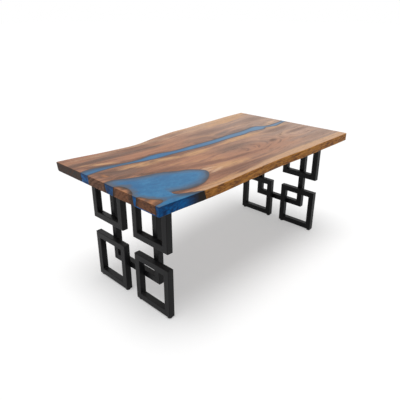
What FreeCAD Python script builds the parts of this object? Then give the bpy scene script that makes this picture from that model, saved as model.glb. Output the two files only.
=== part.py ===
import FreeCAD, Part
import math
import os

# River table: two wood slabs and two wood islands in blue cast resin, on two welded legs of square tube.
# Millimetres. The floor is z = 0, X runs along the length from the left end to the right end, and Y runs
# from the nearly straight front edge to the live edge at the back.

# Top
TABLE_HEIGHT = 750.0
TOP_LENGTH = 1694.0
TOP_WIDTH = 938.0
TOP_THICKNESS = 50.0
LONG_EDGE_EASE = 3.0
END_EDGE_EASE = 2.0
LIVE_EDGE_ROUND = 14.0

# Live edge: share of the length from the left end, how far it lies inside the widest line, and how much
# further in its foot lies at the underside
LIVE_EDGE = [(-0.030, 64, 9), (0.026, 66, 12), (0.088, 79, 18), (0.153, 97, 13), (0.215, 108, 9),
             (0.265, 115, 6), (0.305, 113, 8), (0.345, 101, 11), (0.395, 79, 19), (0.445, 65, 17),
             (0.518, 46, 10), (0.600, 41, 13), (0.680, 29, 15), (0.760, 21, 8), (0.850, 8, 16),
             (0.940, 0, 12), (1.030, 1, 9)]

# Front edge: share of the length, and how far it lies inside its widest line
FRONT_WAVE = [(-0.030, 9), (0.060, 7), (0.170, 0), (0.250, 0), (0.340, 7), (0.450, 12), (0.580, 15),
              (0.690, 8), (0.800, 9), (0.920, 9), (1.030, 12)]

# River banks: share of the length, and distance behind the centre line of the top
RIVER_FRONT_BANK = [(-0.030, 79), (0.040, 101), (0.120, 96), (0.190, 71), (0.236, 53), (0.310, 48),
                    (0.397, 34), (0.517, 22), (0.644, 27), (0.705, 24), (0.738, 34), (0.795, 21),
                    (0.835, 22), (0.857, 36), (0.879, 16), (0.930, 15), (1.030, 19)]
RIVER_BACK_BANK = [(-0.030, 124), (0.042, 163), (0.090, 145), (0.132, 126), (0.200, 109), (0.250, 119),
                   (0.295, 114), (0.345, 93), (0.420, 90), (0.523, 83), (0.600, 86), (0.667, 92),
                   (0.725, 91), (0.785, 105), (0.836, 99), (0.866, 60), (0.905, 56), (0.957, 60),
                   (1.030, 90)]
RIVER_LEAN = 7.0

# Pool banks: distance from the left end and from the front edge's widest line
POOL_BANK = [(-40, 375), (8, 414), (45, 416), (74, 406), (129, 379), (244, 344), (326, 310), (367, 284),
             (402, 271), (452, 232), (477, 184), (455, 142), (410, 107), (346, 74), (283, 66), (224, 73),
             (176, 89), (152, 97)]
TONGUE_BANK = [(152, 97), (149, 68), (177, 48), (221, 26), (300, -28)]
POOL_BANK_LEAN = -16.0
TONGUE_BANK_LEAN = 14.0

# Wood islands in the pool, drawn from the left end: same measures as the pool
POOL_ISLAND = [(-40, 322), (4, 340), (28, 324), (39, 290), (34, 251), (21, 219), (-40, 172)]
CORNER_ISLAND = [(-40, 164), (18, 147), (29, 114), (53, 80), (64, 58), (54, 44), (32, 35), (-40, 20)]
ISLAND_SPREAD = 8.0
CORNER_ISLAND_FLOOR = 6.0

# Legs
TUBE = 38.0
TUBE_WALL = 2.0
TUBE_CORNER = 3.0
SQUARE_WIDTH = 276.0
SQUARE_GAP_ACROSS = 93.0
SQUARE_GAP_UP = 98.0
CENTRE_RAIL_HEIGHT = 149.0
LEFT_LEG_FROM_END = 143.0
RIGHT_LEG_FROM_END = 101.0
LEG_FROM_FRONT_EDGE = 131.0

# Mounting plates and their fasteners
PLATE_THICKNESS = 5.0
PLATE_MARGIN = 37.0
PLATE_CORNER = 12.0
SLOT_WIDTH = 9.0
SLOT_LENGTH = 18.0
BOLT_FROM_TUBE = 18.0
BOLT_FROM_PLATE_END = 42.0
BOLT_DIAMETER = 8.0
BOLT_LENGTH = 25.0
BOLT_HEAD_DIAMETER = 14.0
BOLT_HEAD_HEIGHT = 4.4
BOLT_CROWN_FLAT = 7.5
BOLT_CROWN_BULGE = 0.9
BOLT_SOCKET = 5.0
BOLT_SOCKET_DEPTH = 2.6
WASHER_DIAMETER = 22.0
WASHER_THICKNESS = 1.6
INSERT_DIAMETER = 13.0
INSERT_LENGTH = 20.0
INSERT_HOLE_SPARE = 3.0

# Levelling glides and the nuts that take their studs
GLIDE_HEIGHT = 10.0
GLIDE_COLLAR_HEIGHT = 3.0
GLIDE_DIAMETER = 28.0
GLIDE_SHOULDER = 22.0
GLIDE_RIM = 2.5
GLIDE_CHAMFER = 1.5
GLIDE_COLLAR = 13.0
GLIDE_STUD_DIAMETER = 8.0
GLIDE_STUD_LENGTH = 22.0
WELD_NUT_WIDTH = 14.0
WELD_NUT_HEIGHT = 6.5
WELD_NUT_CHAMFER = 1.0

# Clearances
THREAD_GAP = 0.05
INSERT_GAP = 0.1
STUD_HOLE_GAP = 0.3
WASHER_GAP = 0.2
CUT_OVERRUN = 1.0
TOUCH = 0.01

# Spans of a bank's curve that make one edge
SPANS_PER_EDGE = 3

LEFT_END = -TOP_LENGTH / 2
FRONT_EDGE = -TOP_WIDTH / 2
UNDERSIDE = TABLE_HEIGHT - TOP_THICKNESS
PLATE_UNDERSIDE = UNDERSIDE - PLATE_THICKNESS
SQUARE_HEIGHT = (PLATE_UNDERSIDE - GLIDE_HEIGHT - SQUARE_GAP_UP) / 2
LEG_WIDTH = 2 * SQUARE_WIDTH + SQUARE_GAP_ACROSS
LEG_DEPTH = 2 * TUBE
LEG_FRONT = FRONT_EDGE + LEG_FROM_FRONT_EDGE
LEG_CENTRE_Y = LEG_FRONT + LEG_WIDTH / 2
LEG_LEFT = {"left": LEFT_END + LEFT_LEG_FROM_END, "right": -LEFT_END - RIGHT_LEG_FROM_END - TUBE}
SQUARE_FRONT = {"front": LEG_FRONT, "back": LEG_FRONT + SQUARE_WIDTH + SQUARE_GAP_ACROSS}
SQUARE_BOTTOM = {"lower": GLIDE_HEIGHT, "upper": GLIDE_HEIGHT + SQUARE_HEIGHT + SQUARE_GAP_UP}


def vec(x, y, z):
    return FreeCAD.Vector(x, y, z)


def spline(points, z, spans=SPANS_PER_EDGE):
    """Smooth curve through (x, y) points at one height, as a row of edges of so many spans."""
    curve = Part.BSplineCurve()
    curve.interpolate([vec(x, y, z) for x, y in points])
    knots = curve.getKnots()
    cuts = knots[:-1:spans] + knots[-1:]
    return [curve.toShape(start, end) for start, end in zip(cuts, cuts[1:])]


def polyline(points, z):
    """Straight edges through (x, y) points at one height."""
    return [Part.makeLine(vec(*start, z), vec(*end, z)) for start, end in zip(points, points[1:])]


def leaning_solid(banks_at, low, high):
    """Solid whose walls are straight rulings between the closed outlines banks_at gives for two heights."""
    return Part.makeLoft([Part.Wire(banks_at(z)) for z in (low, high)], True, True)


def along(points, line):
    """Points given as share of the length and distance behind a line along the top, as (x, y)."""
    return [(LEFT_END + share * TOP_LENGTH, line + distance) for share, distance in points]


def from_corner(points):
    """Points given as distance from the left end and from the front edge, as (x, y)."""
    return [(LEFT_END + run, FRONT_EDGE + rise) for run, rise in points]


def lean_at(z, lean):
    """Shift of a leaning wall at a height: nothing at the surface, the whole lean at the underside."""
    return lean * (TABLE_HEIGHT - z) / TOP_THICKNESS


def edges_at(shape, test):
    return [edge for edge in shape.Edges if test(edge.BoundBox)]


def whole_top():
    """The top as it leaves the mould: long edges eased, cut to length, ends eased."""
    def outline(z):
        insets = [(share, -inset - lean_at(z, lean)) for share, inset, lean in LIVE_EDGE]
        back = along(insets, TOP_WIDTH / 2)
        front = along(FRONT_WAVE[::-1], FRONT_EDGE)
        right_side = polyline([back[-1], front[0]], z)
        left_side = polyline([front[-1], back[0]], z)
        return spline(back, z, len(back)) + right_side + spline(front, z, len(front)) + left_side

    blank = leaning_solid(outline, UNDERSIDE, TABLE_HEIGHT)
    surface = TABLE_HEIGHT - TOUCH
    live_bottom = edges_at(blank, lambda b: b.YMin > 0 and b.ZMax < surface)
    blank = blank.makeFillet(LIVE_EDGE_ROUND, live_bottom)
    live_top = edges_at(blank, lambda b: b.YMin > 0 and b.ZMin > surface)
    front_edges = edges_at(blank, lambda b: b.YMax < 0 and b.XLength > TOP_LENGTH)
    blank = blank.makeFillet(LONG_EDGE_EASE, live_top + front_edges)
    cut = Part.makeBox(TOP_LENGTH, 2 * TOP_WIDTH, TOP_THICKNESS, vec(LEFT_END, -TOP_WIDTH, UNDERSIDE))
    top = blank.common(cut)
    ends = edges_at(top, lambda b: b.XMax < LEFT_END + TOUCH or b.XMin > -LEFT_END - TOUCH)
    return top.makeFillet(END_EDGE_EASE, ends)


def river_cutter():
    def outline(z):
        line = -lean_at(z, RIVER_LEAN)
        front = along(RIVER_FRONT_BANK, line)
        back = along(RIVER_BACK_BANK, line)
        right_mouth = polyline([front[-1], back[-1]], z)
        left_mouth = polyline([back[0], front[0]], z)
        return spline(front, z) + right_mouth + spline(back[::-1], z) + left_mouth

    return leaning_solid(outline, UNDERSIDE - CUT_OVERRUN, TABLE_HEIGHT + CUT_OVERRUN)


def pool_cutter():
    """The bank's lean changes steadily from its own at the left end to the tongue's at the tongue's tip."""
    def outline(z):
        bank = from_corner(POOL_BANK)
        tongue = from_corner(TONGUE_BANK)
        bank_lean = lean_at(z, POOL_BANK_LEAN)
        tongue_lean = lean_at(z, TONGUE_BANK_LEAN)
        count = len(bank) - 1
        leans = [bank_lean + (tongue_lean - bank_lean) * n / count for n in range(count + 1)]
        bank = [(x, y + lean) for (x, y), lean in zip(bank, leans)]
        tongue = [(x, y + tongue_lean) for x, y in tongue]
        outside = [tongue[-1], (bank[0][0], tongue[-1][1]), bank[0]]
        return spline(bank, z) + spline(tongue, z) + polyline(outside, z)

    return leaning_solid(outline, UNDERSIDE - CUT_OVERRUN, TABLE_HEIGHT + CUT_OVERRUN)


def island_cutter(points, floor):
    """An island spreads away from the middle of its sawn end towards the underside."""
    shore = from_corner(points)
    middle = (shore[0][1] + shore[-1][1]) / 2

    def outline(z):
        spread = lean_at(z, ISLAND_SPREAD)
        moved = []
        for x, y in shore:
            reach = math.hypot(x - LEFT_END, y - middle)
            moved.append((x + spread * (x - LEFT_END) / reach, y + spread * (y - middle) / reach))
        return spline(moved, z) + polyline([moved[-1], moved[0]], z)

    return leaning_solid(outline, floor, TABLE_HEIGHT + CUT_OVERRUN)


def top_pieces():
    """Cuts the top along its banks, so that wood and resin meet face to face."""
    top = whole_top()
    river = river_cutter()
    slabs = sorted(top.cut(river).Solids, key=lambda solid: solid.CenterOfMass.y)
    pool = pool_cutter()
    poured = slabs[0].common(pool)
    pool_island = island_cutter(POOL_ISLAND, UNDERSIDE - CUT_OVERRUN)
    corner_island = island_cutter(CORNER_ISLAND, UNDERSIDE + CORNER_ISLAND_FLOOR)
    return {
        "front_slab": slabs[0].cut(pool),
        "back_live_edge_slab": slabs[1],
        "river_resin": top.common(river),
        "pool_resin": poured.cut(pool_island).cut(corner_island),
        "pool_wood_island": poured.common(pool_island),
        "corner_wood_island": poured.common(corner_island),
    }


def mitred_tube(left, outline):
    """Square tube whose side view is the outline, a list of (y, z), with its left face at x = left."""
    ys = [y for y, z in outline]
    zs = [z for y, z in outline]
    width = max(ys) - min(ys)
    height = max(zs) - min(zs)
    outer = Part.makeBox(TUBE, width, height, vec(left, min(ys), min(zs)))
    long_edges = edges_at(outer, lambda b: max(b.YLength, b.ZLength) > TUBE + TOUCH)
    outer = outer.makeFillet(TUBE_CORNER, long_edges)
    wall_y = 0 if width > height else TUBE_WALL
    wall_z = TUBE_WALL if width > height else 0
    bore = Part.makeBox(TUBE - 2 * TUBE_WALL, width - 2 * wall_y, height - 2 * wall_z,
                        vec(left + TUBE_WALL, min(ys) + wall_y, min(zs) + wall_z))
    side_view = Part.Face(Part.makePolygon([vec(left, y, z) for y, z in outline + outline[:1]]))
    return outer.cut(bore).common(side_view.extrude(vec(TUBE, 0, 0)))


def square_tubes(left, front, bottom):
    """The four mitred tubes of one square."""
    back = front + SQUARE_WIDTH
    top = bottom + SQUARE_HEIGHT
    corners = [(front, bottom), (back, bottom), (back, top), (front, top)]
    inner = [(front + TUBE, bottom + TUBE), (back - TUBE, bottom + TUBE),
             (back - TUBE, top - TUBE), (front + TUBE, top - TUBE)]
    names = ["bottom_rail", "back_post", "top_rail", "front_post"]
    tubes = {}
    for n, name in enumerate(names):
        m = (n + 1) % len(names)
        tubes[name] = mitred_tube(left, [corners[n], corners[m], inner[m], inner[n]])
    return tubes


def centre_frame_tubes(left):
    """Two posts and a rail behind the squares: each post stands behind the middle of a square."""
    front = SQUARE_FRONT["front"] + (SQUARE_WIDTH - TUBE) / 2
    back = SQUARE_FRONT["back"] + (SQUARE_WIDTH + TUBE) / 2
    low = CENTRE_RAIL_HEIGHT
    high = PLATE_UNDERSIDE
    front_mitre = [(front, low), (front + TUBE, low + TUBE)]
    back_mitre = [(back - TUBE, low + TUBE), (back, low)]
    return {
        "front_post": mitred_tube(left, front_mitre + [(front + TUBE, high), (front, high)]),
        "back_post": mitred_tube(left, back_mitre + [(back, high), (back - TUBE, high)]),
        "rail": mitred_tube(left, front_mitre + back_mitre),
    }


def disc(diameter, height, x, y, z):
    return Part.makeCylinder(diameter / 2, height, vec(x, y, z))


def hexagon(across_flats, height, x, y, z):
    radius = across_flats / math.sqrt(3)
    angles = [math.radians(60 * n) for n in range(7)]
    points = [vec(x + radius * math.cos(a), y + radius * math.sin(a), z) for a in angles]
    return Part.Face(Part.makePolygon(points)).extrude(vec(0, 0, height))


def bolt_places(left):
    """Two rows of three bolts, clear of the tubes on both sides of a leg."""
    rows = [left - BOLT_FROM_TUBE, left + LEG_DEPTH + BOLT_FROM_TUBE]
    reach = LEG_WIDTH / 2 - BOLT_FROM_PLATE_END
    return [(x, LEG_CENTRE_Y + n * reach) for x in rows for n in (-1, 0, 1)]


def slot(x, y):
    """Slot across the grain, so that the wood can move under the bolts."""
    reach = (SLOT_LENGTH - SLOT_WIDTH) / 2
    z = PLATE_UNDERSIDE - CUT_OVERRUN
    height = PLATE_THICKNESS + 2 * CUT_OVERRUN
    middle = Part.makeBox(SLOT_WIDTH, 2 * reach, height, vec(x - SLOT_WIDTH / 2, y - reach, z))
    ends = [disc(SLOT_WIDTH, height, x, y + side * reach, z) for side in (-1, 1)]
    return middle.multiFuse(ends).removeSplitter()


def mounting_plate(left):
    width = LEG_DEPTH + 2 * PLATE_MARGIN
    corner = vec(left - PLATE_MARGIN, LEG_FRONT, PLATE_UNDERSIDE)
    plate = Part.makeBox(width, LEG_WIDTH, PLATE_THICKNESS, corner)
    plate = plate.makeFillet(PLATE_CORNER, edges_at(plate, lambda b: b.XLength + b.YLength < TOUCH))
    for x, y in bolt_places(left):
        plate = plate.cut(slot(x, y))
    return plate


def bolt(x, y):
    """Button-head bolt, head down, drawn as a half section and turned."""
    seat = PLATE_UNDERSIDE - WASHER_THICKNESS
    head = BOLT_HEAD_DIAMETER / 2
    shank = BOLT_DIAMETER / 2
    flat = BOLT_CROWN_FLAT / 2
    low = seat - BOLT_HEAD_HEIGHT
    slope = math.atan2(BOLT_HEAD_HEIGHT, head - flat)
    middle = vec((head + flat) / 2 + BOLT_CROWN_BULGE * math.sin(slope), 0,
                 (seat + low) / 2 - BOLT_CROWN_BULGE * math.cos(slope))
    crown = Part.Arc(vec(flat, 0, low), middle, vec(head, 0, seat))
    tip = seat + BOLT_LENGTH
    corners = [(head, seat), (shank, seat), (shank, tip), (0, tip), (0, low), (flat, low)]
    sides = [Part.makeLine(vec(a[0], 0, a[1]), vec(b[0], 0, b[1])) for a, b in zip(corners, corners[1:])]
    section = Part.Face(Part.Wire([crown.toShape()] + sides))
    turned = section.revolve(vec(0, 0, 0), vec(0, 0, 1), 360)
    turned.translate(vec(x, y, 0))
    return turned.cut(hexagon(BOLT_SOCKET, BOLT_SOCKET_DEPTH, x, y, low))


def washer(x, y):
    z = PLATE_UNDERSIDE - WASHER_THICKNESS
    hole = disc(BOLT_DIAMETER + 2 * WASHER_GAP, WASHER_THICKNESS, x, y, z)
    return disc(WASHER_DIAMETER, WASHER_THICKNESS, x, y, z).cut(hole)


def threaded_insert(x, y):
    bore = disc(BOLT_DIAMETER + 2 * THREAD_GAP, INSERT_LENGTH, x, y, UNDERSIDE)
    return disc(INSERT_DIAMETER, INSERT_LENGTH, x, y, UNDERSIDE).cut(bore)


def insert_hole(x, y):
    bolt_reach = BOLT_LENGTH - WASHER_THICKNESS - PLATE_THICKNESS
    depth = max(INSERT_LENGTH, bolt_reach) + INSERT_HOLE_SPARE
    return disc(INSERT_DIAMETER + 2 * INSERT_GAP, depth + CUT_OVERRUN, x, y, UNDERSIDE - CUT_OVERRUN)


def glide_places(left):
    """A glide stands under each post of the lower squares."""
    x = left + TUBE / 2
    places = {}
    for side, front in SQUARE_FRONT.items():
        posts = [front + TUBE / 2, front + SQUARE_WIDTH - TUBE / 2]
        outer, inner = posts if side == "front" else reversed(posts)
        places[side + "_outer"] = (x, outer)
        places[side + "_inner"] = (x, inner)
    return places


def glide(x, y):
    """Moulded foot with a hexagon collar on a threaded stud."""
    pad_top = GLIDE_HEIGHT - GLIDE_COLLAR_HEIGHT
    rim = GLIDE_DIAMETER / 2
    section = [(0, 0), (rim - GLIDE_CHAMFER, 0), (rim, GLIDE_CHAMFER), (rim, GLIDE_CHAMFER + GLIDE_RIM),
               (GLIDE_SHOULDER / 2, pad_top), (0, pad_top), (0, 0)]
    half = Part.Face(Part.makePolygon([vec(r, 0, z) for r, z in section]))
    pad = half.revolve(vec(0, 0, 0), vec(0, 0, 1), 360)
    pad.translate(vec(x, y, 0))
    collar = hexagon(GLIDE_COLLAR, GLIDE_COLLAR_HEIGHT, x, y, pad_top)
    stud = disc(GLIDE_STUD_DIAMETER, GLIDE_COLLAR_HEIGHT + GLIDE_STUD_LENGTH, x, y, pad_top)
    return pad.multiFuse([collar, stud])


def stud_hole(x, y):
    height = TUBE_WALL + 2 * CUT_OVERRUN
    return disc(GLIDE_STUD_DIAMETER + 2 * STUD_HOLE_GAP, height, x, y, GLIDE_HEIGHT - CUT_OVERRUN)


def weld_nut(x, y):
    """Square nut welded to the inside of a lower rail."""
    half = WELD_NUT_WIDTH / 2
    z = GLIDE_HEIGHT + TUBE_WALL
    block = Part.makeBox(WELD_NUT_WIDTH, WELD_NUT_WIDTH, WELD_NUT_HEIGHT, vec(x - half, y - half, z))
    block = block.makeChamfer(WELD_NUT_CHAMFER, edges_at(block, lambda b: b.ZMin > z + WELD_NUT_CHAMFER))
    return block.cut(disc(GLIDE_STUD_DIAMETER + 2 * THREAD_GAP, WELD_NUT_HEIGHT, x, y, z))


def leg_tubes(leg):
    """All the tubes of one leg: four squares, and the centre frame against their right faces."""
    left = LEG_LEFT[leg]
    tubes = {}
    for row, bottom in SQUARE_BOTTOM.items():
        for side, front in SQUARE_FRONT.items():
            for name, shape in square_tubes(left, front, bottom).items():
                tubes[f"{leg}_leg_{row}_{side}_square_{name}"] = shape
    for name, shape in centre_frame_tubes(left + TUBE).items():
        tubes[f"{leg}_leg_centre_{name}"] = shape
    return tubes


parts = top_pieces()
bolts = []
washers = []
inserts = []
nuts = []
for leg, left in LEG_LEFT.items():
    tubes = leg_tubes(leg)
    parts[f"{leg}_leg_mounting_plate"] = mounting_plate(left)
    for place in bolt_places(left):
        bolts.append(bolt(*place))
        washers.append(washer(*place))
        inserts.append(threaded_insert(*place))
        for name in ("front_slab", "back_live_edge_slab", "river_resin", "pool_resin"):
            parts[name] = parts[name].cut(insert_hole(*place))
    for corner, place in glide_places(left).items():
        side = corner.split("_")[0]
        rail = f"{leg}_leg_lower_{side}_square_bottom_rail"
        tubes[rail] = tubes[rail].cut(stud_hole(*place))
        nuts.append(weld_nut(*place))
        parts[f"{leg}_leg_{corner}_glide"] = glide(*place)
    parts.update(tubes)
parts["leg_bolts"] = Part.makeCompound(bolts)
parts["leg_bolt_washers"] = Part.makeCompound(washers)
parts["threaded_inserts"] = Part.makeCompound(inserts)
parts["glide_weld_nuts"] = Part.makeCompound(nuts)

os.makedirs("parts", exist_ok=True)
for name, shape in parts.items():
    shape.exportStep(os.path.join("parts", name + ".step"))
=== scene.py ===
import math
from types import SimpleNamespace

import bmesh
import bpy
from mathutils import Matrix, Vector


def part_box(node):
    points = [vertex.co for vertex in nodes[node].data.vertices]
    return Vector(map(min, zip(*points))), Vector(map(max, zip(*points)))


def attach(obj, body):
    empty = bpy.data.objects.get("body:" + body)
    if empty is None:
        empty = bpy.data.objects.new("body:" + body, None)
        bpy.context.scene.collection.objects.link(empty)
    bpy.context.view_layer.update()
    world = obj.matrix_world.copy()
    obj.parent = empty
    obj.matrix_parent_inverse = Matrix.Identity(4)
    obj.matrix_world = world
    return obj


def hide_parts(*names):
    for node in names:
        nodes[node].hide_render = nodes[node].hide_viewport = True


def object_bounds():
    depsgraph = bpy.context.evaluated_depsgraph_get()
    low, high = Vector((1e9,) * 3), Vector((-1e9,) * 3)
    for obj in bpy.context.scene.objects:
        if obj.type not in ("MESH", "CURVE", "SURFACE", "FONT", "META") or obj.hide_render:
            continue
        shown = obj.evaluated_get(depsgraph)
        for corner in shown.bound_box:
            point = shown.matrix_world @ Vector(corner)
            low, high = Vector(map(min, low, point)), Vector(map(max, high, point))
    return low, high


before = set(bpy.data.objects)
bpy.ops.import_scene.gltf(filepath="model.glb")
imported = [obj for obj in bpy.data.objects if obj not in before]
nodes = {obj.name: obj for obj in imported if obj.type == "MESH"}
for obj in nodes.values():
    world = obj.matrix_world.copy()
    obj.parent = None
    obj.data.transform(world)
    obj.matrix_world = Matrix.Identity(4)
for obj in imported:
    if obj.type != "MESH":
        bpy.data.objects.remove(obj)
cad_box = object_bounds()

# Wood slabs
# Two planks of one brown hardwood log, sanded flat and oiled, with the natural outline of the tree kept along
# the back edge, the front edge and the banks. The resin poured between them holds them together.


class Shade:
    """One output of a finish's nodes. Sums on it add Math nodes, and node() adds any other node."""

    def __init__(self, tree, socket):
        self.tree = tree
        self.socket = socket

    def node(self, kind, settings, inputs, output=0):
        """Adds a node, makes its settings, sets or links its inputs and gives one of its outputs."""
        made = self.tree.nodes.new(kind)
        for name, value in settings.items():
            if name == "stops":
                for place, colour in value[2:]:
                    made.color_ramp.elements.new(place)
                for stop, (place, colour) in zip(made.color_ramp.elements, value):
                    stop.position = place
                    stop.color = (*colour, 1)
            elif name == "curve":
                points = made.mapping.curves[0].points
                for place, height in value[1:-1]:
                    points.new(place, height)
                points[0].location = value[0]
                points[-1].location = value[-1]
                made.mapping.update()
            else:
                setattr(made, name, value)
        for key, value in inputs.items():
            if isinstance(value, Shade):
                self.tree.links.new(value.socket, made.inputs[key])
            else:
                made.inputs[key].default_value = value
        return Shade(self.tree, made.outputs[output])

    def math(self, operation, first, second=0.0):
        return self.node("ShaderNodeMath", {"operation": operation}, {0: first, 1: second})

    def __add__(self, other):
        return self.math("ADD", self, other)

    def __radd__(self, other):
        return self.math("ADD", other, self)

    def __sub__(self, other):
        return self.math("SUBTRACT", self, other)

    def __rsub__(self, other):
        return self.math("SUBTRACT", other, self)

    def __mul__(self, other):
        return self.math("MULTIPLY", self, other)

    def __rmul__(self, other):
        return self.math("MULTIPLY", other, self)

    def __truediv__(self, other):
        return self.math("DIVIDE", self, other)

    def __rtruediv__(self, other):
        return self.math("DIVIDE", other, self)

    def __abs__(self):
        return self.math("ABSOLUTE", self)


def new_finish(name):
    """A material, its place on the object in metres, and its surface node."""
    material = bpy.data.materials.new(name)
    material.use_nodes = True
    tree = material.node_tree
    place = tree.nodes.new("ShaderNodeTexCoord").outputs["Object"]
    return material, Shade(tree, place), tree.nodes["Principled BSDF"]


def lay_on(surface, values):
    """Sets or links the sockets of a surface node."""
    for name, value in values.items():
        if isinstance(value, Shade):
            value.tree.links.new(value.socket, surface.inputs[name])
        else:
            surface.inputs[name].default_value = value


def give_finish(material, names):
    """Gives pieces of the frame a finish in place of their plain one."""
    for name in names:
        slots = nodes[name].data.materials
        slots.clear()
        slots.append(material)


def axes(vector):
    return [vector.node("ShaderNodeSeparateXYZ", {}, {0: vector}, n) for n in range(3)]


def facing(place):
    """The way that a surface faces, along each axis."""
    return axes(Shade(place.tree, place.socket.node.outputs["Normal"]))


def point(x, y, z):
    return x.node("ShaderNodeCombineXYZ", {}, {0: x, 1: y, 2: z})


def noise(place, per_metre, detail=3.0, roughness=0.55, distortion=0.0):
    """Cloudy values from 0 to 1 with so many waves to the metre along each axis."""
    stretched = place.node("ShaderNodeVectorMath", {"operation": "MULTIPLY"}, {0: place, 1: per_metre})
    values = {"Vector": stretched, "Scale": 1.0, "Detail": detail, "Roughness": roughness,
              "Distortion": distortion}
    return place.node("ShaderNodeTexNoise", {}, values)


def rise(value, low, high):
    """0 below low, 1 above high and smooth between. With low above high it falls instead."""
    settings = {"interpolation_type": "SMOOTHSTEP"}
    return value.node("ShaderNodeMapRange", settings, {0: value, 1: low, 2: high, 3: 0.0, 4: 1.0})


def near(distance, reach):
    """1 at a line and 0 from its reach on."""
    return rise(abs(distance), reach, 0.0)


def most(first, *others):
    """The largest of some amounts."""
    for other in others:
        first = first.math("MAXIMUM", first, other)
    return first


def tint(amount, first, second):
    """Mixes two colours."""
    colours = [colour if isinstance(colour, Shade) else (*colour, 1) for colour in (first, second)]
    settings = {"data_type": "RGBA"}
    return amount.node("ShaderNodeMix", settings, {0: amount, 6: colours[0], 7: colours[1]}, 2)


def bump(height, metres):
    values = {"Height": height, "Strength": 1.0, "Distance": metres}
    return height.node("ShaderNodeBump", {}, values)


TOP_LEFT, TOP_RIGHT = cad_box[0][0], cad_box[1][0]
TOP_SURFACE = cad_box[1][2]
BELOW_EASED_EDGE = TOP_SURFACE - 0.0035
END_MARGIN = 0.001
POOL_FRONT, POOL_DEPTH = -0.468, 0.400
POOL_MIDDLE = -0.29
OPEN_POOL = -0.76
STEPS = [n / 40 for n in range(41)]
STATIONS = [TOP_LEFT + END_MARGIN + step * (TOP_RIGHT - TOP_LEFT - 2 * END_MARGIN) for step in STEPS]
END_STATIONS = [POOL_FRONT + step * POOL_DEPTH for step in STEPS]


def bank(node, start, direction):
    """Where lines across the top at each station enter a piece. Past the piece's end the bank stays level."""
    line = []
    for x in STATIONS:
        start_point = Vector((x, start, BELOW_EASED_EDGE))
        hit, place, normal, face = nodes[node].ray_cast(start_point, Vector((0, direction, 0)))
        line.append(place.y if hit and normal.y * direction < 0 else None)
    known = [n for n, y in enumerate(line) if y is not None]
    return [line[min(known, key=lambda k: abs(k - n))] for n in range(len(line))]


def shore(pieces, start, direction):
    """Where lines along the top at each end station first meet some pieces, or the left end if they miss."""
    line = []
    for y in END_STATIONS:
        start_point = Vector((start, y, BELOW_EASED_EDGE))
        hits = [nodes[piece].ray_cast(start_point, Vector((direction, 0, 0))) for piece in pieces]
        line.append(max([TOP_LEFT] + [place.x for hit, place, normal, face in hits if hit]))
    return line


def curve_over(value, stations, line, shift):
    """A line of places over its stations as a smooth curve. The shift brings them between 0 and 1."""
    points = [(step, place + shift) for step, place in zip(STEPS, line)]
    share = (value - stations[0]) / (stations[-1] - stations[0])
    return value.node("ShaderNodeFloatCurve", {"curve": points}, {"Factor": 1.0, "Value": share}) - shift


def along_top(x, line):
    return curve_over(x, STATIONS, line, 0.5)


def across_end(y, line):
    return curve_over(y, END_STATIONS, line, 1.0)


LIVE_EDGE = bank("back_live_edge_slab", 1, -1)
RIVER_FRONT = bank("river_resin", -1, 1)
RIVER_BACK = bank("river_resin", 1, -1)
POOL_BACK = bank("pool_resin", 1, -1)
POOL_TIP = shore(["pool_resin"], 0.0, -1)
TONGUE_BACK = bank("front_slab", POOL_MIDDLE, -1)
TONGUE_SIDE = shore(["front_slab"], OPEN_POOL, 1)

BARK = (0.014, 0.009, 0.007)
DARK_WOOD = (0.078, 0.034, 0.019)
GREY_WOOD = (0.163, 0.090, 0.062)
RED_WOOD = (0.172, 0.066, 0.034)
BROWN_WOOD = (0.274, 0.116, 0.056)
PINK_WOOD = (0.400, 0.176, 0.093)
GOLD_WOOD = (0.600, 0.330, 0.150)
PALE_WOOD = (0.640, 0.405, 0.255)
ORANGE_WOOD = (0.420, 0.170, 0.060)
# the next colour is a painted sheen, laid over the wood towards the right end
SHEEN_WOOD = (0.540, 0.430, 0.355)
STAINED_WOOD = (0.115, 0.095, 0.092)
EDGE_WOOD = (0.730, 0.318, 0.060)
UNDER_BARK = (0.320, 0.102, 0.015)
GREY_END = (0.040, 0.036, 0.034)
BROWN_END = (0.275, 0.132, 0.078)

GRAIN_SWAY, GRAIN_DIP, GRAIN_RIPPLE = 0.060, 0.100, 0.010
RINGS_PER_METRE = 230
PORE_DEPTH = 0.00012
BARK_RIPPLE = 0.006


def plank_grain(place, across_of, pith):
    """A plank's figure: rings round a swaying pith line along X, and the bands and streaks in them."""
    x, y, z = axes(place)
    sway = noise(place, (1.3, 2.6, 2.6), 2.0) - 0.5
    ripple = noise(place, (4.0, 22.0, 22.0), 3.0) - 0.5
    dip = noise(place, (1.1, 1.5, 1.5), 2.0) - 0.5
    across = across_of(x, y) + sway * GRAIN_SWAY + ripple * GRAIN_RIPPLE
    side = across - pith[0]
    depth = z - pith[1] + dip * GRAIN_DIP
    radius = side.math("SQRT", side * side + depth * depth)
    rings = point(x * 0.35, radius, z * 0.2)
    return SimpleNamespace(
        sway=sway, ripple=ripple, across=across, radius=radius, rings=rings,
        bands=noise(rings, (1.8, 22.0, 4.0), 3.0, 0.6),
        streaks=noise(rings, (4.0, 75.0, 6.0), 4.0, 0.65),
        lines=noise(rings, (5.0, 190.0, 12.0), 4.0, 0.65),
        figure=noise(place, (9.0, 16.0, 16.0), 4.0, 0.6, 0.6),
    )


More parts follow.
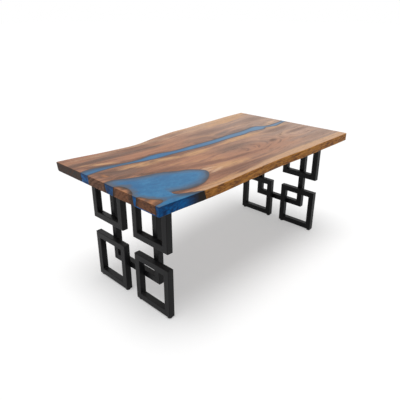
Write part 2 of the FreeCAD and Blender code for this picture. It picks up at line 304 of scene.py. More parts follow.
def heartwood(x, grain):
    """From dark to golden with the grain, and paler and greyer towards the right end under a painted sheen.
    """
    tone = grain.bands * 0.33 + grain.streaks * 0.35 + grain.lines * 0.22 + grain.figure * 0.10
    stops = [(0.37, DARK_WOOD), (0.43, RED_WOOD), (0.48, BROWN_WOOD), (0.54, PINK_WOOD), (0.63, GOLD_WOOD)]
    colour = tone.node("ShaderNodeValToRGB", {"stops": stops}, {0: tone})
    # painted sheen: the wood is tinted paler and greyer towards the right end, standing for the reflection
    # seen there
    return tint(rise(x, -0.5, 0.9) * 0.44, colour, SHEEN_WOOD)


def patches(flat, ragged, marks):
    """How much soft long marks cover a point. Each has a middle, half a length, half a width and a turn."""
    fades = []
    for x, y, half_length, half_width, turn in marks:
        spot = {"Vector": flat, "Location": (x, y, 0), "Rotation": (0, 0, math.radians(turn)),
                "Scale": (half_length, half_width, 1)}
        inside = flat.node("ShaderNodeMapping", {"vector_type": "TEXTURE"}, spot)
        fades.append(flat.node("ShaderNodeTexGradient", {"gradient_type": "SPHERICAL"}, {0: inside}, 1))
    cover = most(*fades)
    return rise(cover + (ragged - 0.5) * 2.6 * rise(cover, 0.0, 0.35), 0.02, 0.85)


def marked(colour, place, grain, coloured_marks):
    """Lays knots, stains and streaks over the grain, with ragged outlines that follow it."""
    x, y = axes(place)[:2]
    mottle = noise(place, (24.0, 60.0, 60.0), 4.0, 0.65)
    ragged = grain.streaks * 0.40 + grain.figure * 0.35 + mottle * 0.25
    flat = point(x + grain.ripple * 0.03, y + grain.sway * 0.02 + grain.ripple * 0.02, 0.0)
    for shade, strength, marks in coloured_marks:
        colour = tint(patches(flat, ragged, marks) * strength, colour, shade)
    return colour


def natural_edge_colour(place, fibre):
    """The wood just under the bark: orange fibres, and dark hollows."""
    hollows = noise(place, (16.0, 30.0, 60.0), 3.0, 0.6)
    colour = tint(rise(fibre * 0.6 + hollows * 0.4, 0.38, 0.62), UNDER_BARK, EDGE_WOOD)
    return tint(rise(hollows, 0.47, 0.36) * 0.55, colour, DARK_WOOD)


def sawn_end_colour(place, grain, end_colour):
    """End grain with torn dark patches."""
    torn = noise(place, (60.0, 45.0, 90.0), 4.0, 0.65)
    return tint(rise(torn * 0.5 + grain.streaks * 0.5, 0.38, 0.60), DARK_WOOD, end_colour)


def wood(name, across_of, pith, sap_of, rim_of, coloured_marks, end_colour):
    """Oiled wood with sapwood, marks, pores, natural edges, sawn ends and bark along the banks."""
    material, place, surface = new_finish(name)
    x, y = axes(place)[:2]
    grain = plank_grain(place, across_of, pith)
    sap = rise(sap_of(x, grain.across) + (grain.streaks - 0.5) * 0.9, 0.30, 0.75)
    colour = tint(sap * 0.85, heartwood(x, grain), tint(grain.lines, GOLD_WOOD, PALE_WOOD))
    colour = marked(colour, place, grain, coloured_marks)
    turns = grain.radius * RINGS_PER_METRE + grain.ripple * 2.0
    fleck = rise(noise(grain.rings, (22.0, 210.0, 20.0), 3.0, 0.6), 0.54, 0.68)
    pore = rise(noise(place, (34.0, 1300.0, 1300.0), 2.0, 0.5), 0.58, 0.72)
    for dark in (rise(turns.math("FRACT", turns), 0.35, 1.0) * 0.14, fleck * 0.55, pore * 0.40):
        colour = tint(dark, colour, DARK_WOOD)
    faces = facing(place)
    fibre = noise(place, (18.0, 90.0, 150.0), 4.0, 0.65)
    natural_edge = rise(abs(faces[1]), 0.45, 0.9)
    colour = tint(natural_edge * 0.95, colour, natural_edge_colour(place, fibre))
    sawn_end = rise(abs(faces[0]), 0.55, 0.9)
    colour = tint(sawn_end * 0.97, colour, sawn_end_colour(place, grain, end_colour))
    lay_on(surface, {
        "Base Color": tint(rim_of(x, y, grain.ripple) * 0.85, colour, BARK),
        "Roughness": 0.40 + (grain.lines - 0.5) * 0.20 + sawn_end * 0.15 + natural_edge * 0.15,
        "Specular IOR Level": 0.16,
        "Normal": bump(grain.lines * 0.25 - pore + natural_edge * fibre * 6.0, PORE_DEPTH),
    })
    return material


def back_across(x, y):
    """How far across the back slab a point lies: its grain follows the live edge."""
    river_line = 0.105 - 0.03 * x
    return 0.10 + (y - river_line) / (along_top(x, LIVE_EDGE) - river_line) * 0.34


def back_sap(x, across):
    """Sapwood along the live edge, more of it to the right."""
    return rise(across, 0.36, 0.45) * (0.35 + 0.9 * rise(x, -0.4, 0.5))


def back_rim(x, y, ripple):
    """The dark line that bark left along the river."""
    return near(y - along_top(x, RIVER_BACK) + ripple * BARK_RIPPLE, 0.009)


def front_across(x, y):
    """The front slab's grain runs round the pool and closes up again past its tip."""
    river_line = 0.055 - 0.045 * x
    pool_line = along_top(x, POOL_BACK)
    return most((y - pool_line) / (river_line - pool_line) * 0.335 - 0.285, y)


def front_sap(x, across):
    """A strip of sapwood along the front edge, wider to the right."""
    return rise(across - 0.035 * rise(x, -0.5, 0.3), -0.40, -0.465)


TONGUE_TIP, TIP_FADE = -0.697, 0.010
TONGUE_TURN, TURN_FADE = -0.388, 0.006
FAR_AWAY = 3.0


def by_pool(x, y, ripple, reach):
    """How near the pool's banks a point lies, at the back, at the tip and along the tongue: 1 on them."""
    back = along_top(x, POOL_BACK) - y
    past_turn = rise(y, TONGUE_TURN - TURN_FADE, TONGUE_TURN - 2 * TURN_FADE)
    tip = across_end(y, POOL_TIP) - x + FAR_AWAY * past_turn
    round_the_tip = near(back.math("MINIMUM", back, tip) + ripple, reach)
    right_of_tip = rise(x, TONGUE_TIP - TIP_FADE, TONGUE_TIP + TIP_FADE)
    beside_pool = right_of_tip * rise(x, max(POOL_TIP), max(POOL_TIP) - 2 * TIP_FADE)
    return most(round_the_tip, near(y - along_top(x, TONGUE_BACK) + ripple, reach) * beside_pool)


def before_tongue(x, y, ripple, reach):
    """How near a point lies to the outer side of the tongue of wood that reaches into the pool."""
    outside = rise(y, TONGUE_TURN + TURN_FADE, TONGUE_TURN - TURN_FADE)
    return near(across_end(y, TONGUE_SIDE) - x + ripple, reach) * outside


def front_rim(x, y, ripple):
    """Dark lines of bark along the river and the pool, faint at the pool's tip."""
    river = near(y - along_top(x, RIVER_FRONT) + ripple * BARK_RIPPLE, 0.008)
    pool = by_pool(x, y, ripple * BARK_RIPPLE, 0.012) * (1 - 0.8 * rise(x, -0.46, -0.38))
    return most(river, pool, before_tongue(x, y, ripple * BARK_RIPPLE, 0.014))


BACK_MARKS = [
    (PALE_WOOD, 0.50, [(-0.30, 0.345, 0.48, 0.060, -2), (-0.60, 0.335, 0.26, 0.040, -3),
                       (0.30, 0.370, 0.55, 0.090, 5)]),
    (PINK_WOOD, 0.80, [(-0.41, 0.180, 0.40, 0.065, -2), (-0.65, 0.370, 0.28, 0.050, -8)]),
    (GREY_WOOD, 0.80, [(-0.54, 0.262, 0.50, 0.060, -3)]),
    (DARK_WOOD, 0.60, [(-0.73, 0.262, 0.30, 0.040, -3), (-0.36, 0.250, 0.20, 0.022, -3)]),
    (GREY_WOOD, 0.55, [(0.18, 0.235, 0.26, 0.070, 6), (0.02, 0.160, 0.22, 0.050, -4),
                       (0.72, 0.250, 0.30, 0.080, 3)]),
    (GOLD_WOOD, 0.80, [(-0.69, 0.190, 0.16, 0.026, -27), (0.55, 0.380, 0.40, 0.070, 6)]),
    (PALE_WOOD, 0.90, [(0.73, 0.096, 0.17, 0.045, 14)]),
    (STAINED_WOOD, 0.75, [(0.36, 0.110, 0.30, 0.050, 4), (0.26, 0.150, 0.16, 0.035, 12)]),
    (DARK_WOOD, 0.75, [(-0.72, 0.160, 0.15, 0.034, -22)]),
]
FRONT_MARKS = [
    (PINK_WOOD, 0.65, [(0.15, -0.250, 0.55, 0.140, -3), (-0.25, -0.100, 0.25, 0.060, -14),
                       (-0.45, -0.410, 0.30, 0.060, -2)]),
    (GREY_WOOD, 0.75, [(-0.69, 0.000, 0.19, 0.110, -20), (0.03, -0.115, 0.26, 0.075, -3),
                       (0.70, -0.162, 0.20, 0.032, 0), (0.62, -0.050, 0.25, 0.050, 0)]),
    (RED_WOOD, 0.75, [(-0.29, -0.210, 0.25, 0.034, -13), (-0.03, -0.256, 0.26, 0.028, -6),
                      (-0.19, -0.365, 0.34, 0.024, -1), (-0.53, -0.120, 0.22, 0.070, -22)]),
    (GOLD_WOOD, 0.80, [(-0.56, 0.035, 0.18, 0.055, -14), (-0.40, 0.010, 0.17, 0.042, -12),
                       (-0.18, -0.030, 0.19, 0.046, -5), (0.265, -0.012, 0.28, 0.050, 2),
                       (0.665, 0.000, 0.18, 0.032, 0), (-0.22, -0.300, 0.27, 0.046, -5),
                       (-0.40, -0.430, 0.25, 0.035, 0)]),
    (PALE_WOOD, 0.80, [(-0.34, -0.268, 0.09, 0.018, -8), (-0.33, -0.318, 0.10, 0.018, 10),
                       (-0.36, -0.292, 0.05, 0.030, 0)]),
    (GREY_WOOD, 0.40, [(0.72, -0.330, 0.30, 0.060, 0)]),
    (DARK_WOOD, 0.75, [(-0.79, 0.021, 0.045, 0.060, 0), (0.35, -0.195, 0.07, 0.034, 10),
                       (-0.75, 0.055, 0.12, 0.026, -25), (-0.62, -0.100, 0.13, 0.030, -28),
                       (-0.75, -0.050, 0.12, 0.035, -20)]),
    (ORANGE_WOOD, 0.80, [(-0.79, 0.021, 0.024, 0.036, 0)]),
]
BACK_PITH, FRONT_PITH = (0.10, 0.55), (-0.18, 0.48)
back_wood = wood("back_slab_wood", back_across, BACK_PITH, back_sap, back_rim, BACK_MARKS, GREY_END)
front_wood = wood("front_slab_wood", front_across, FRONT_PITH, front_sap, front_rim, FRONT_MARKS, BROWN_END)
give_finish(back_wood, ["back_live_edge_slab"])
give_finish(front_wood, ["front_slab"])

# Wood islands
# Two offcuts with sawn outer ends that were laid in the pool's corner before the pour, so that the resin runs
# right round them.
ISLANDS = ["pool_wood_island", "corner_wood_island"]
BEYOND_ISLANDS = -0.70
ISLAND_SHORE = shore(ISLANDS, BEYOND_ISLANDS, -1)
ISLAND_END = (0.300, 0.125, 0.060)
ISLAND_PITH = (-0.33, 0.62)
ISLAND_MARKS = [
    (ORANGE_WOOD, 0.85, [(-0.84, -0.200, 0.14, 0.180, 0), (-0.83, -0.400, 0.14, 0.140, 20)]),
    (DARK_WOOD, 0.80, [(-0.81, -0.170, 0.05, 0.050, 0), (-0.82, -0.250, 0.04, 0.040, 0),
                       (-0.82, -0.420, 0.05, 0.030, 20), (-0.84, -0.370, 0.03, 0.030, 0)]),
]


def island_across(x, y):
    """The islands' grain runs straight along the table."""
    return y


def no_sap(x, across):
    """The islands are all heartwood."""
    return 0.0


def by_islands(x, y, ripple, reach):
    """How near the islands' shore a point lies."""
    return near(x - across_end(y, ISLAND_SHORE) + ripple, reach)


def island_rim(x, y, ripple):
    """A broad ragged line of bark along the shore."""
    return by_islands(x, y, ripple * 0.040, 0.026)


island_wood = wood("island_wood", island_across, ISLAND_PITH, no_sap, island_rim, ISLAND_MARKS, ISLAND_END)
give_finish(island_wood, ISLANDS)

# Resin
# Blue pearl-pigmented epoxy, poured in one go between the slabs and round the islands, then sanded and
# polished with the wood. It is cloudy, and wood that leans in under it shows as a soft dark shade. Its sides
# get their own deeper blue, painted for the light that falls there, with a painted shade line under the top
# edge, and a painted shadow darkens the resin before the tongue of the front slab.
DEEP_BLUE = (0.009, 0.102, 0.256)
MID_BLUE = (0.016, 0.143, 0.316)
PALE_BLUE = (0.040, 0.205, 0.396)
GREY_BLUE = (0.170, 0.240, 0.320)
SIDE_BLUE = (0.002, 0.180, 0.560)
SIDE_NAVY = (0.001, 0.034, 0.130)
SUNKEN_WOOD = (0.037, 0.040, 0.056)
DROWNED_WOOD = (0.093, 0.090, 0.096)
FOOT_LEFT, FOOT_RIGHT, FOOT_BACK = (-0.72, -0.60), (-0.40, -0.50), (-0.30, -0.35)
# where the painted shade line on the sides, just under the top edge, fades in
SHADE_LINE_FROM, SHADE_LINE_TO = TOP_SURFACE - 0.014, TOP_SURFACE - 0.002


def resin(name, shades_of):
    """Cloudy blue with pearl flakes; painted deep blue sides with a painted shade line at the top; black
    before the tongue's foot.
    """
    material, place, surface = new_finish(name)
    x, y, z = axes(place)
    cloud = noise(place, (4.0, 7.0, 7.0), 5.0, 0.6, 0.8)
    swirl = noise(place, (17.0, 24.0, 24.0), 5.0, 0.7, 1.5)
    milky = rise(cloud * 0.55 + swirl * 0.45, 0.30, 0.70)
    stops = [(0.0, DEEP_BLUE), (0.5, MID_BLUE), (1.0, PALE_BLUE)]
    colour = milky.node("ShaderNodeValToRGB", {"stops": stops}, {0: milky})
    pearl = noise(place, (700.0, 700.0, 700.0), 1.0)
    colour = tint(rise(pearl, 0.52, 0.75) * 0.30, colour, PALE_BLUE)
    ripple = noise(place, (14.0, 22.0, 22.0), 3.0) - 0.5
    for amount, shade in shades_of(x, y, ripple):
        colour = tint(amount, colour, shade)
    # painted light: the sides get their own deep blue, apart from the top's, for how light falls on them
    painted_side_colour = tint(rise(cloud * 0.4 + swirl * 0.6, 0.38, 0.60), SIDE_NAVY, SIDE_BLUE)
    # painted shade: a dark line along the sides just under the top edge
    painted_side_colour = tint(rise(z, SHADE_LINE_FROM, SHADE_LINE_TO) * 0.75, painted_side_colour, SIDE_NAVY)
    tongue_foot = rise(x, *FOOT_LEFT) * rise(x, *FOOT_RIGHT) * rise(y, *FOOT_BACK)
    # the side faces, which take the painted side colour in place of the top's
    side = rise(abs(facing(place)[2]), 0.75, 0.35)
    lay_on(surface, {
        "Base Color": tint(side, colour, tint(tongue_foot, painted_side_colour, BARK)),
        "Roughness": 0.24 + swirl * 0.14,
        "Specular IOR Level": 0.10,
    })
    return material


def river_shades(x, y, ripple):
    """Greyer to the right, with dark banks. The back bank leans in most near the left end."""
    leaning_in = 0.022 + 0.035 * rise(x, -0.50, -0.70)
    front = near(y - along_top(x, RIVER_FRONT) + ripple * 0.012, 0.018)
    back = near(y - along_top(x, RIVER_BACK) + ripple * 0.012, leaning_in)
    return [(rise(x, -0.6, 0.8) * 0.50, GREY_BLUE), (most(front, back) * 0.85, SUNKEN_WOOD)]


def pool_shades(x, y, ripple):
    """Banks lean far in under the resin, so their shade is broad; islands show through; a painted shadow lies
    before the tongue.
    """
    islands = by_islands(x, y, ripple * 0.080, 0.050)
    leaning = by_pool(x, y, ripple * 0.030, 0.075)
    deepest = by_pool(x, y, ripple * 0.030, 0.030)
    # painted shadow: the resin before the tongue's outer side is darkened as if shaded
    tongue = before_tongue(x, y, ripple * 0.030, 0.130) * rise(y, TONGUE_TURN, TONGUE_TURN - 0.050)
    return [(islands * 0.75, DROWNED_WOOD), (leaning * 0.65, DROWNED_WOOD), (deepest * 0.70, SUNKEN_WOOD),
            (tongue * 0.95, SUNKEN_WOOD)]


give_finish(resin("river_resin", river_shades), ["river_resin"])
give_finish(resin("pool_resin", pool_shades), ["pool_resin"])

# Leg frames and mounting plates
# Mitred and welded square steel tube and flat steel plate, blasted after welding and powder coated in one
# satin black. The coat has a fine orange peel, and a little dust rests on the faces that look up.
COAT_BLACK = (0.009, 0.009, 0.010)
COAT_GREY = (0.015, 0.015, 0.016)
DUST = (0.060, 0.058, 0.055)
PEEL_DEPTH = 0.00010


def powder_coat():
    material, place, surface = new_finish("black_powder_coat")
    peel = noise(place, (420.0, 420.0, 420.0), 2.0, 0.5)
    grain = noise(place, (2100.0, 2100.0, 2100.0), 1.0)
    cloud = noise(place, (7.0, 7.0, 7.0), 3.0)
    dusty = rise(facing(place)[2], 0.6, 1.0) * rise(cloud, 0.35, 0.70)
    colour = tint(rise(cloud, 0.35, 0.65), COAT_BLACK, COAT_GREY)
    lay_on(surface, {
        "Base Color": tint(dusty * 0.25, colour, DUST),
        "Roughness": 0.40 + (cloud - 0.5) * 0.16 + (grain - 0.5) * 0.10 + dusty * 0.10,
        "Specular IOR Level": 0.14,
        "Normal": bump(peel + grain * 0.3, PEEL_DEPTH),
    })
    return material


coat = powder_coat()
give_finish(coat, [name for name in nodes if name.endswith(("_rail", "_post", "_mounting_plate"))])

# Weld beads
# Fillet welds with the ripples of the torch: inside the squares' corners, beside each crossing of the centre
# frame, in its own corners, and in short stitches under the mounting plates. They are coated with the tubes.
BEAD_LEG = 0.0042
BEAD_CROWN = 0.22
BEAD_RIPPLE = 0.0030
BEAD_HOLLOW, BEAD_TIP = 0.80, 0.45
BEAD_SIDES = 4
BEAD_ROOT = 0.0004
TUBE_EASE = 0.0035
STITCH = 0.040
STITCH_SHARES = (0.22, 0.78)


def skin(mesh, rings):
    """Closes a row of equal rings of corners into one solid."""
    rings = [[mesh.verts.new(corner) for corner in ring] for ring in rings]
    for ring, following in zip(rings, rings[1:]):
        for n in range(len(ring)):
            after = (n + 1) % len(ring)
            mesh.faces.new((ring[n], ring[after], following[after], following[n]))
    mesh.faces.new(rings[0][::-1])
    mesh.faces.new(rings[-1])


def finished(name, mesh, material):
    """The data of a piece from its mesh, with the faces outward."""
    data = bpy.data.meshes.new(name)
    bmesh.ops.recalc_face_normals(mesh, faces=mesh.faces)
    mesh.to_mesh(data)
    mesh.free()
    data.materials.append(material)
    return data


def bead(mesh, start, end, first_away, second_away):
    """One weld along a corner. Each away points from one of the two faces that it joins."""
    away = [Vector(first_away), Vector(second_away)]
    start = Vector(start) - (away[0] + away[1]) * BEAD_ROOT
    end = Vector(end) - (away[0] + away[1]) * BEAD_ROOT
    steps = 2 * max(2, round((end - start).length / BEAD_RIPPLE))
    rings = []
    for step in range(steps + 1):
        at_tip = step in (0, steps)
        swell = BEAD_LEG * (BEAD_TIP if at_tip else 1.0 if step % 2 else BEAD_HOLLOW)
        middle = start.lerp(end, step / steps)
        ring = [middle]
        for side in range(BEAD_SIDES + 1):
            share = side / BEAD_SIDES
            crown = 1 + BEAD_CROWN * math.sin(math.pi * share)
            ring.append(middle + (away[0] * (1 - share) + away[1] * share) * swell * crown)
        rings.append(ring)
    skin(mesh, rings)


def sides_of(node):
    """A node's lowest and highest x, y and z, as six numbers by name."""
    low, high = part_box(node)
    return {"left": low[0], "right": high[0], "front": low[1], "back": high[1],
            "low": low[2], "high": high[2]}


def weld_square(mesh, square):
    """The four inside corners of one mitred square."""
    low_rail, high_rail = sides_of(square + "_bottom_rail"), sides_of(square + "_top_rail")
    front_post, back_post = sides_of(square + "_front_post"), sides_of(square + "_back_post")
    left, right = low_rail["left"] + TUBE_EASE, low_rail["right"] - TUBE_EASE
    for z, up in ((low_rail["low"] + TUBE, 1), (high_rail["high"] - TUBE, -1)):
        for y, inward in ((front_post["front"] + TUBE, 1), (back_post["back"] - TUBE, -1)):
            bead(mesh, (left, y, z), (right, y, z), (0, inward, 0), (0, 0, up))


def weld_crossing(mesh, upright, level):
    """An upright and a level tube that touch: a weld on both sides of whichever stands behind the other."""
    touching = max(min(upright["right"], level["right"]), max(upright["left"], level["left"]))
    if upright["left"] >= level["left"]:
        low, high = level["low"] + TUBE_EASE, level["high"] - TUBE_EASE
        for y, outward in ((upright["front"], -1), (upright["back"], 1)):
            bead(mesh, (touching, y, low), (touching, y, high), (1, 0, 0), (0, outward, 0))
    else:
        front, back = upright["front"] + TUBE_EASE, upright["back"] - TUBE_EASE
        for z, outward in ((level["low"], -1), (level["high"], 1)):
            bead(mesh, (touching, front, z), (touching, back, z), (1, 0, 0), (0, 0, outward))


def weld_plate(mesh, top_rail):
    """Short stitches between a square's top rail and the plate on it."""
    for share in STITCH_SHARES:
        y = top_rail["front"] + share * (top_rail["back"] - top_rail["front"])
        ends = [(top_rail["left"], y + reach, top_rail["high"]) for reach in (-STITCH / 2, STITCH / 2)]
        bead(mesh, *ends, (-1, 0, 0), (0, 0, -1))


TUBE = sides_of("left_leg_centre_rail")["high"] - sides_of("left_leg_centre_rail")["low"]
for leg in ("left_leg", "right_leg"):
    mesh = bmesh.new()
    rail = sides_of(leg + "_centre_rail")
    for side, inner, inward in (("front", "back", 1), ("back", "front", -1)):
        post = sides_of(f"{leg}_centre_{side}_post")
        lower, upper = f"{leg}_lower_{side}_square", f"{leg}_upper_{side}_square"
        weld_square(mesh, lower)
        weld_square(mesh, upper)
        for crossed in (lower + "_top_rail", upper + "_bottom_rail", upper + "_top_rail"):
            weld_crossing(mesh, post, sides_of(crossed))
        weld_crossing(mesh, sides_of(f"{lower}_{inner}_post"), rail)
        ends = [(x, post[inner], rail["high"]) for x in (post["left"] + TUBE_EASE, post["right"] - TUBE_EASE)]
        bead(mesh, *ends, (0, inward, 0), (0, 0, 1))
        weld_plate(mesh, sides_of(upper + "_top_rail"))
    name = leg + "_weld_beads"
    beads = bpy.data.objects.new(name, finished(name, mesh, coat))
    bpy.context.scene.collection.objects.link(beads)
    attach(beads, "table")

# Bolts, washers and weld nuts
# Button-head bolts and plain washers of bright zinc-plated steel, and the square nuts that are welded inside
# the bottom rails. Plating leaves a faint yellow and blue cast.
ZINC_GREY = (0.52, 0.53, 0.54)
ZINC_BLUE = (0.45, 0.50, 0.58)
ZINC_YELLOW = (0.60, 0.56, 0.44)
SCRATCH_DEPTH = 0.00002


def zinc_plate():
    material, place, surface = new_finish("zinc_steel")
    cast = noise(place, (60.0, 60.0, 60.0), 2.0)
    scratch = noise(place, (900.0, 4000.0, 900.0), 2.0)
    colour = tint(rise(cast, 0.48, 0.32), ZINC_GREY, ZINC_BLUE)
    lay_on(surface, {
        "Base Color": tint(rise(cast, 0.52, 0.70), colour, ZINC_YELLOW),
        "Metallic": 1.0,
        "Roughness": 0.30 + (scratch - 0.5) * 0.25 + (cast - 0.5) * 0.15,
        "Normal": bump(scratch, SCRATCH_DEPTH),
    })
    return material


zinc = zinc_plate()
give_finish(zinc, ["leg_bolts", "leg_bolt_washers", "glide_weld_nuts"])

# Threaded inserts
# Plain turned brass, screwed into the underside of the slabs and the river to take the bolts. Only their
# bores show, round the bolts.
BRASS = (0.60, 0.42, 0.15)
TARNISHED_BRASS = (0.33, 0.21, 0.08)


def turned_brass():
    material, place, surface = new_finish("brass_insert")
    tooling = noise(place, (300.0, 300.0, 3000.0), 2.0)
    tarnish = noise(place, (90.0, 90.0, 90.0), 3.0)
    lay_on(surface, {
        "Base Color": tint(rise(tarnish, 0.40, 0.70), BRASS, TARNISHED_BRASS),
        "Metallic": 1.0,
        "Roughness": 0.28 + tarnish * 0.25,
        "Normal": bump(tooling, SCRATCH_DEPTH),
    })
    return material


give_finish(turned_brass(), ["threaded_inserts"])

# Levelling glides
# Screw-in feet: a moulded black nylon pad on a zinc-plated M8 stud with a hexagon collar for a spanner. The
# thread shows when a foot is screwed out.
PAD_RADIUS, PAD_SOLE, PAD_SHOULDER = 0.0140, 0.0125, 0.0110
PAD_HEIGHT, PAD_RIM_HEIGHT, PAD_ROUND = 0.0070, 0.0036, 0.0015
RECESS_DEPTH, RECESS_MARGIN, RECESS_SLOPE = 0.0004, 0.0035, 0.0005
PAD_STEPS = 6
COLLAR_ACROSS = 0.0130
COLLAR_CHAMFERS = ((0.93, 0.0004), (0.92, 0.0005))
STUD_RADIUS, STUD_PITCH, THREAD_DEPTH = 0.0040, 0.00125, 0.0007
SUNK_IN = 0.0002
ROUND_SIDES, HEXAGON_SIDES, THREAD_SIDES = 48, 6, 20
RINGS_PER_TURN = 4
NYLON_BLACK = (0.012, 0.012, 0.013)
SCUFFED_NYLON = (0.055, 0.054, 0.052)
GRAIN_DEPTH = 0.00003
glides = sorted(name for name in nodes if name.endswith("_glide"))
GLIDE_HEIGHT = sides_of("left_leg_lower_front_square_bottom_rail")["low"]
STUD_TOP = sides_of(glides[0])["high"]


def round_point(radius, height, share):
    """A place on a level circle, so far round it."""
    angle = 2 * math.pi * share
    return radius * math.cos(angle), radius * math.sin(angle), height


def turned(mesh, profile, sides):
    """Turns a half section, given as radius and height, round the z axis."""
    skin(mesh, [[round_point(radius, height, n / sides) for n in range(sides)] for radius, height in profile])


def glide_pad():
    """A sole with a shallow recess, a rounded edge, an upright rim and a shoulder up to the collar."""
    mesh = bmesh.new()
    recess = PAD_SOLE - RECESS_MARGIN
    profile = [(recess - RECESS_SLOPE, RECESS_DEPTH), (recess, 0.0)]
    for n in range(PAD_STEPS + 1):
        turn = math.pi / 2 * (n / PAD_STEPS - 1)
        profile.append((PAD_SOLE + PAD_ROUND * math.cos(turn), PAD_ROUND + PAD_ROUND * math.sin(turn)))
    for n in range(PAD_STEPS + 1):
        share = n / PAD_STEPS
        inward = (PAD_SHOULDER - PAD_RADIUS) * share ** 1.6
        profile.append((PAD_RADIUS + inward, PAD_RIM_HEIGHT + (PAD_HEIGHT - PAD_RIM_HEIGHT) * share ** 0.7))
    turned(mesh, profile, ROUND_SIDES)
    return mesh


def glide_stud():
    """The hexagon collar with chamfered corners, and the thread up to the stud's end."""
    mesh = bmesh.new()
    corner = COLLAR_ACROSS / math.sqrt(3)
    (low_share, low_chamfer), (high_share, high_chamfer) = COLLAR_CHAMFERS
    profile = [(corner * low_share, PAD_HEIGHT - SUNK_IN), (corner, PAD_HEIGHT + low_chamfer),
               (corner, GLIDE_HEIGHT - high_chamfer), (corner * high_share, GLIDE_HEIGHT)]
    turned(mesh, profile, HEXAGON_SIDES)
    turns = (STUD_TOP - GLIDE_HEIGHT) / STUD_PITCH
    rings = []
    for n in range(int(turns * RINGS_PER_TURN) + 1):
        turn = n / RINGS_PER_TURN
        height = GLIDE_HEIGHT - SUNK_IN + turn * STUD_PITCH
        ring = []
        for share in (k / THREAD_SIDES for k in range(THREAD_SIDES)):
            flank = abs(((turn - share) % 1) * 2 - 1)
            ring.append(round_point(STUD_RADIUS - THREAD_DEPTH * flank, height, share))
        rings.append(ring)
    skin(mesh, rings)
    return mesh


def nylon():
    material, place, surface = new_finish("black_foot")
    grain = noise(place, (1800.0, 1800.0, 1800.0), 2.0)
    scuff = noise(place, (260.0, 260.0, 120.0), 3.0, 0.6)
    worn = rise(axes(place)[2], 0.0025, 0.0) * rise(scuff, 0.45, 0.65)
    lay_on(surface, {
        "Base Color": tint(worn * 0.6, NYLON_BLACK, SCUFFED_NYLON),
        "Roughness": 0.52 + (grain - 0.5) * 0.20 + worn * 0.15,
        "Specular IOR Level": 0.35,
        "Normal": bump(grain + scuff * 0.5, GRAIN_DEPTH),
    })
    return material


pad_data = finished("glide_pad", glide_pad(), nylon())
stud_data = finished("glide_stud", glide_stud(), zinc)
pad_data.shade_smooth()
for glide in glides:
    box = sides_of(glide)
    for kind, data, slot in (("pad", pad_data, "black_foot"), ("stud", stud_data, "zinc_steel")):
        piece = bpy.data.objects.new(f"{glide}_{kind}", data)
        piece.location = ((box["left"] + box["right"]) / 2, (box["front"] + box["back"]) / 2, 0)
        bpy.context.scene.collection.objects.link(piece)
        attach(piece, glide)
        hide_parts(glide)

# Floor and light
# A plain white floor that keeps the table's shadow, under a white studio dome and a broad soft light that
# comes from above and a little from the left and the front.
FLOOR_SIZE = 120
FLOOR_GREY, FLOOR_SHOWN, FLOOR_GLOW = 0.40, 0.62, 0.41
HORIZON_LIGHT, ZENITH_LIGHT = 0.16, 0.38
WHITE, BLACK = (1, 1, 1), (0, 0, 0)
SOFT_LIGHT_FROM = Vector((-0.12, -0.06, 1.0))
SOFT_LIGHT_SPREAD = 36
SOFT_LIGHT_STRENGTH = 2.2


def as_shown(tree):
    """1 for what the camera sees, also in a reflection or through something clear."""
    path = tree.nodes.new("ShaderNodeLightPath")
    return most(*[Shade(tree, path.outputs[f"Is {ray} Ray"]) for ray in ("Camera", "Glossy", "Transmission")])


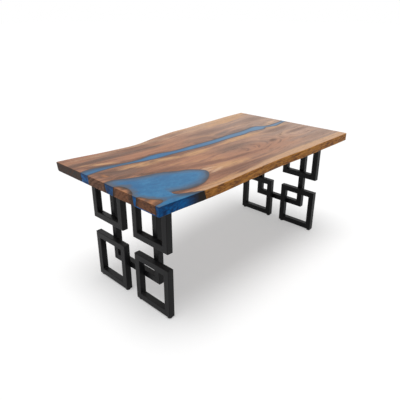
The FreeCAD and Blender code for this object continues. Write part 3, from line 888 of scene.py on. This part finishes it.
def floor_paper():
    """Pale to the eye and greyer to the light, so that it throws little back. It is clear from below."""
    material, place, surface = new_finish("floor_paper")
    tree = place.tree
    shown = as_shown(tree)
    paper = noise(place, (3.0, 3.0, 3.0)) * 0.01 + FLOOR_SHOWN
    lay_on(surface, {
        "Base Color": tint(shown, (FLOOR_GREY,) * 3, point(paper, paper, paper)),
        "Roughness": 1.0,
        "Specular IOR Level": 0.0,
        "Emission Color": tint(shown, BLACK, (FLOOR_GLOW,) * 3),
        "Emission Strength": 1.0,
    })
    from_below = Shade(tree, tree.nodes.new("ShaderNodeNewGeometry").outputs["Backfacing"])
    upper_side = Shade(tree, surface.outputs[0])
    clear = from_below.node("ShaderNodeBsdfTransparent", {}, {})
    sheet = from_below.node("ShaderNodeMixShader", {}, {0: from_below, 1: upper_side, 2: clear})
    tree.links.new(sheet.socket, tree.nodes["Material Output"].inputs["Surface"])
    return material


bpy.ops.mesh.primitive_plane_add(size=FLOOR_SIZE)
floor = bpy.context.object
floor.name = "floor"
floor.data.materials.append(floor_paper())

world = bpy.data.worlds.new("studio")
bpy.context.scene.world = world
world.use_nodes = True
tree = world.node_tree
upward = axes(Shade(tree, tree.nodes.new("ShaderNodeTexCoord").outputs["Generated"]))[2]
brightness = HORIZON_LIGHT + (ZENITH_LIGHT - HORIZON_LIGHT) * rise(upward, 0.0, 0.9)
sky_colour = tint(as_shown(tree), point(brightness, brightness, brightness), WHITE)
sky = upward.node("ShaderNodeBackground", {}, {"Color": sky_colour, "Strength": 1.0})
tree.links.new(sky.socket, tree.nodes["World Output"].inputs["Surface"])

soft_light = bpy.data.objects.new("soft_light", bpy.data.lights.new("soft_light", "SUN"))
soft_light.data.energy = SOFT_LIGHT_STRENGTH
soft_light.data.angle = math.radians(SOFT_LIGHT_SPREAD)
soft_light.rotation_euler = SOFT_LIGHT_FROM.to_track_quat("Z", "Y").to_euler()
bpy.context.scene.collection.objects.link(soft_light)

# Camera
# At the photograph's place: out from the pool's corner and above the top, looking down across the table with
# a slightly wide lens. The angles are in degrees, and the second is from the table's length.
CAMERA_PLACE = (-1.8985, -1.7222, 1.5061)
CAMERA_LENS, CAMERA_SENSOR = 38.285, 36
LOOKING_DOWN, LOOKING_ACROSS = 23.81, 44.122
camera = bpy.data.objects.new("camera", bpy.data.cameras.new("camera"))
camera.data.sensor_width = CAMERA_SENSOR
camera.data.lens = CAMERA_LENS
camera.location = CAMERA_PLACE
camera.rotation_euler = (math.radians(90 - LOOKING_DOWN), 0, math.radians(LOOKING_ACROSS - 90))
bpy.context.scene.collection.objects.link(camera)
bpy.context.scene.camera = camera
bpy.context.scene.view_settings.view_transform = "Standard"
